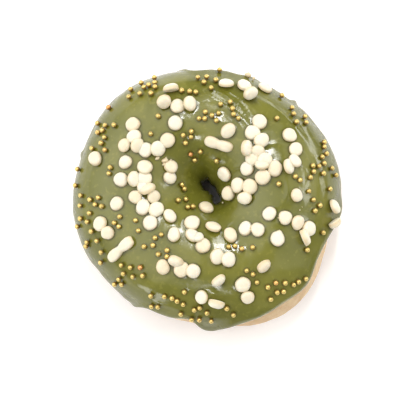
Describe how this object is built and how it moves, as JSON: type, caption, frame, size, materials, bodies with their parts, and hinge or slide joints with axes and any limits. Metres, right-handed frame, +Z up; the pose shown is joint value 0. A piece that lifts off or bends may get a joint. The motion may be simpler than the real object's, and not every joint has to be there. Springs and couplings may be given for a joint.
{
  "type": "ring doughnut",
  "caption": "Raised ring doughnut dipped in glossy green glaze, topped with cream buttons and small gold pearls, with a slot-like hole and a flat base.",
  "frame": {"origin": "centre of the bounding box's lower face, in the plane that the doughnut rests on", "axes": "+Z up through the hole; +Y along the hole's slot; the glaze stops highest above -Y"},
  "size_m": [0.0979, 0.1014, 0.0406],
  "materials": {
    "dough": "fried dough: golden brown underneath, pale band round the middle, dull",
    "glaze": "moss green sugar glaze, glossy, softly wrinkled",
    "button": "white chocolate, satin",
    "pearl": "gold lustre sugar, satin"
  },
  "bodies": {
    "root": {"dough": "dough", "glaze": "glaze"}
  },
  "joints": []
}
